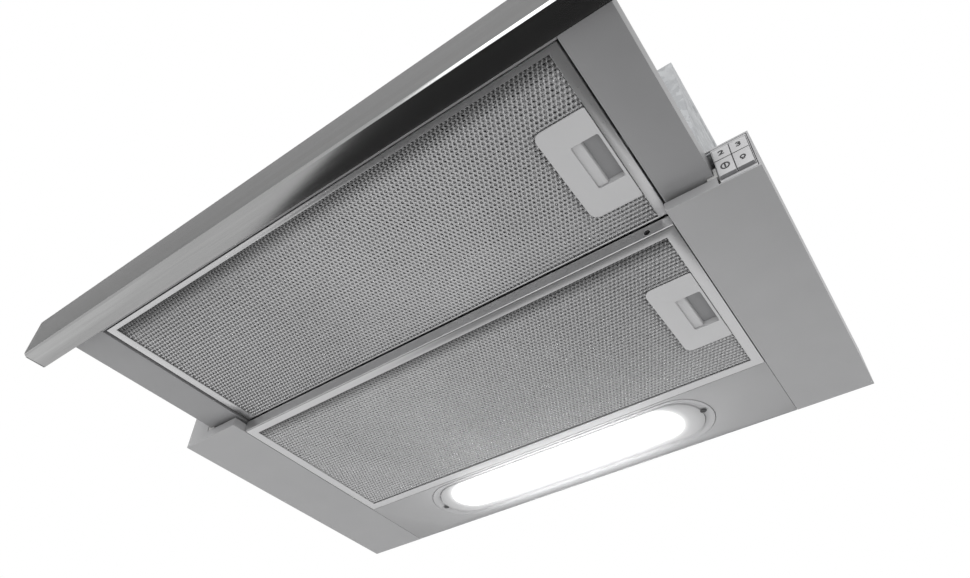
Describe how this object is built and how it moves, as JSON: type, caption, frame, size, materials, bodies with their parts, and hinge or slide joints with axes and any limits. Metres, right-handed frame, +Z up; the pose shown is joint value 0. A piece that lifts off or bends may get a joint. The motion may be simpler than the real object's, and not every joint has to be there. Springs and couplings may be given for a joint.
{
  "type": "range hood",
  "caption": "Slide-out range hood for a wall cabinet: a flat base with grease filters, lamp and push keys, a pull-out visor with a steel front bar, and a blower body with a duct spigot.",
  "frame": {"origin": "middle of the back face that stands against the wall, level with the underside of the cabinet", "axes": "+X right for someone who faces the hood, +Y into the wall, +Z up"},
  "size_m": [0.598, 0.4654, 0.2491],
  "materials": {
    "silver_lacquer": "silver-grey lacquer with a fine metallic flake, satin",
    "brushed_steel": "steel brushed along the bar's length",
    "galvanised_steel": "galvanised sheet, matt",
    "aluminium": "satin aluminium",
    "aluminium_mesh": "several layers of expanded aluminium mesh",
    "light_grey_plastic": "moulded light grey plastic, fine texture",
    "key_plastic": "moulded light grey key caps with printed numbers and symbols",
    "dark_plastic": "moulded black plastic",
    "white_nylon": "white nylon",
    "motor_enamel": "dark grey enamel",
    "circuit_board": "white circuit board",
    "lamp_lens": "frosted white diffuser, lit from behind"
  },
  "bodies": {
    "hood_body": {"housing_shell": "galvanised_steel", "chassis_plate": "galvanised_steel", "side_panel_left": "silver_lacquer", "side_panel_right": "silver_lacquer", "lamp_panel": "silver_lacquer", "lamp_bezel": "light_grey_plastic", "lamp_lens": "lamp_lens", "led_board": "circuit_board", "led_driver": "light_grey_plastic", "rail_left": "galvanised_steel", "rail_right": "galvanised_steel", "front_glide_left": "white_nylon", "front_glide_right": "white_nylon", "scroll_wrap": "galvanised_steel", "scroll_side_left": "galvanised_steel", "scroll_side_right": "galvanised_steel", "motor": "motor_enamel", "motor_bracket": "galvanised_steel", "capacitor": "light_grey_plastic", "outlet_spigot": "dark_plastic", "flap_pin": "galvanised_steel", "terminal_box": "dark_plastic", "cable_gland": "dark_plastic", "control_module": "light_grey_plastic", "microswitch": "dark_plastic", "mounting_bracket_left": "galvanised_steel", "mounting_bracket_right": "galvanised_steel"},
    "visor": {"front_bar": "brushed_steel", "bar_end_cap_left": "brushed_steel", "bar_end_cap_right": "brushed_steel", "visor_side_left": "silver_lacquer", "visor_side_right": "silver_lacquer", "visor_front_rail": "silver_lacquer", "visor_rear_rail": "silver_lacquer", "visor_top_cover": "silver_lacquer", "visor_shoe_left": "white_nylon", "visor_shoe_right": "white_nylon"},
    "front_filter": {"front_filter_frame": "aluminium", "front_filter_mesh": "aluminium_mesh", "front_filter_handle": "light_grey_plastic"},
    "front_latch": {"front_filter_latch": "light_grey_plastic"},
    "rear_filter": {"rear_filter_frame": "aluminium", "rear_filter_mesh": "aluminium_mesh", "rear_filter_handle": "light_grey_plastic"},
    "rear_latch": {"rear_filter_latch": "light_grey_plastic"},
    "fan_wheel": {"impeller": "galvanised_steel"},
    "left_flap": {"flap_left": "dark_plastic"},
    "right_flap": {"flap_right": "dark_plastic"},
    "speed_1_key": {"key_speed_1": "key_plastic"},
    "speed_2_key": {"key_speed_2": "key_plastic"},
    "speed_3_key": {"key_speed_3": "key_plastic"},
    "light_key": {"key_light": "key_plastic"},
    "switch_plunger": {"microswitch_plunger": "white_nylon"}
  },
  "joints": [
    {"name": "visor_slide", "type": "slide", "parent": "hood_body", "child": "visor", "axis": [0, 1, 0], "range_m": [0, 0.155]},
    {"name": "front_filter_drop", "type": "hinge", "parent": "visor", "child": "front_filter", "pos_m": [-0.226, -0.3568, -0.0287], "axis": [0, -1, 0], "range_deg": [-70, 0]},
    {"name": "rear_filter_drop", "type": "hinge", "parent": "hood_body", "child": "rear_filter", "pos_m": [-0.2282, -0.1812, -0.041], "axis": [0, -1, 0], "range_deg": [-70, 0]},
    {"name": "front_latch_slide", "type": "slide", "parent": "front_filter", "child": "front_latch", "axis": [-1, 0, 0], "range_m": [0, 0.004], "stiffness_N_per_m": 500, "springref_m": -0.002},
    {"name": "rear_latch_slide", "type": "slide", "parent": "rear_filter", "child": "rear_latch", "axis": [-1, 0, 0], "range_m": [0, 0.004], "stiffness_N_per_m": 500, "springref_m": -0.002},
    {"name": "fan_spin", "type": "hinge", "parent": "hood_body", "child": "fan_wheel", "pos_m": [0, -0.12, 0.078], "axis": [1, 0, 0], "continuous": true},
    {"name": "flap_left_swing", "type": "hinge", "parent": "hood_body", "child": "left_flap", "pos_m": [0, -0.154, 0.1703], "axis": [0, 1, 0], "range_deg": [0, 75]},
    {"name": "flap_right_swing", "type": "hinge", "parent": "hood_body", "child": "right_flap", "pos_m": [0, -0.154, 0.1703], "axis": [0, -1, 0], "range_deg": [0, 75]},
    {"name": "key_speed_1_press", "type": "slide", "parent": "hood_body", "child": "speed_1_key", "axis": [0, 1, 0], "range_m": [0, 0.002], "stiffness_N_per_m": 800, "springref_m": -0.001},
    {"name": "key_speed_2_press", "type": "slide", "parent": "hood_body", "child": "speed_2_key", "axis": [0, 1, 0], "range_m": [0, 0.002], "stiffness_N_per_m": 800, "springref_m": -0.001},
    {"name": "key_speed_3_press", "type": "slide", "parent": "hood_body", "child": "speed_3_key", "axis": [0, 1, 0], "range_m": [0, 0.002], "stiffness_N_per_m": 800, "springref_m": -0.001},
    {"name": "key_light_press", "type": "slide", "parent": "hood_body", "child": "light_key", "axis": [0, 1, 0], "range_m": [0, 0.002], "stiffness_N_per_m": 800, "springref_m": -0.001},
    {"name": "switch_plunger_press", "type": "slide", "parent": "hood_body", "child": "switch_plunger", "axis": [0, 1, 0], "range_m": [0, 0.0012], "stiffness_N_per_m": 400, "springref_m": -0.001}
  ]
}
